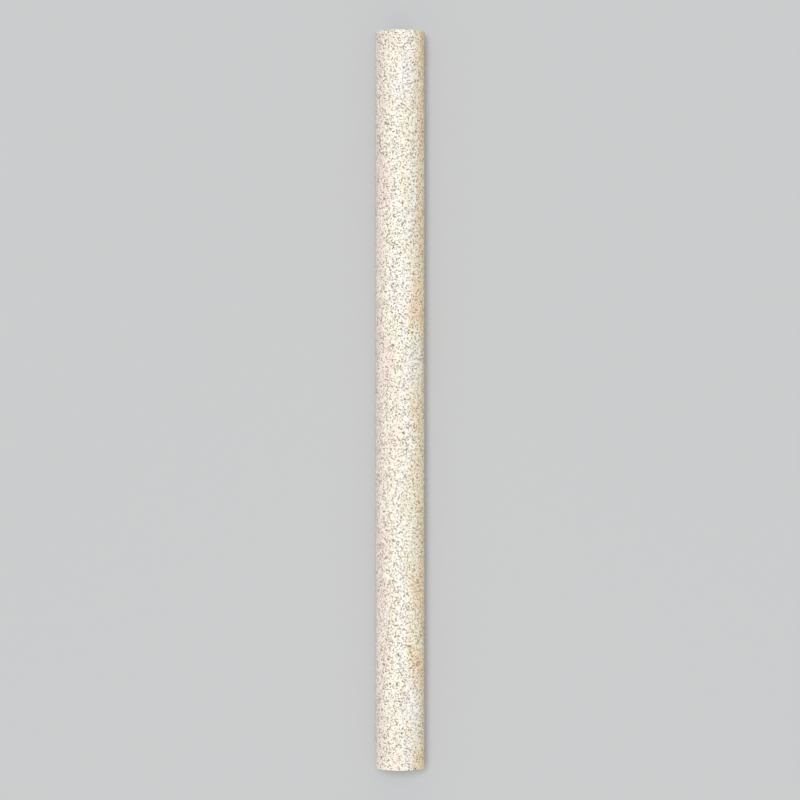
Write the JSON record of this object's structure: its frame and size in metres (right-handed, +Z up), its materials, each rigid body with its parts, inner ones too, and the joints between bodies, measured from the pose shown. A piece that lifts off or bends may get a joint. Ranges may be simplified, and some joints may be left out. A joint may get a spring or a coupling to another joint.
{
  "type": "bicycle spoke reflector",
  "caption": "Slim slit tube that snaps onto a bicycle wheel spoke: a C-section plastic sleeve wrapped in pale glass-bead reflective film.",
  "frame": {"origin": "on the spoke's line, the axis of the bore, half way along the clip", "axes": "+Y along the spoke's line; +Z up, away from the mouth, which faces -Z; +X to the right"},
  "size_m": [0.005, 0.075, 0.0046],
  "materials": {
    "sleeve_plastic": "satin",
    "bead_film": "matte"
  },
  "bodies": {
    "root": {"clip_body": "sleeve_plastic", "reflective_film": "bead_film"}
  },
  "joints": []
}
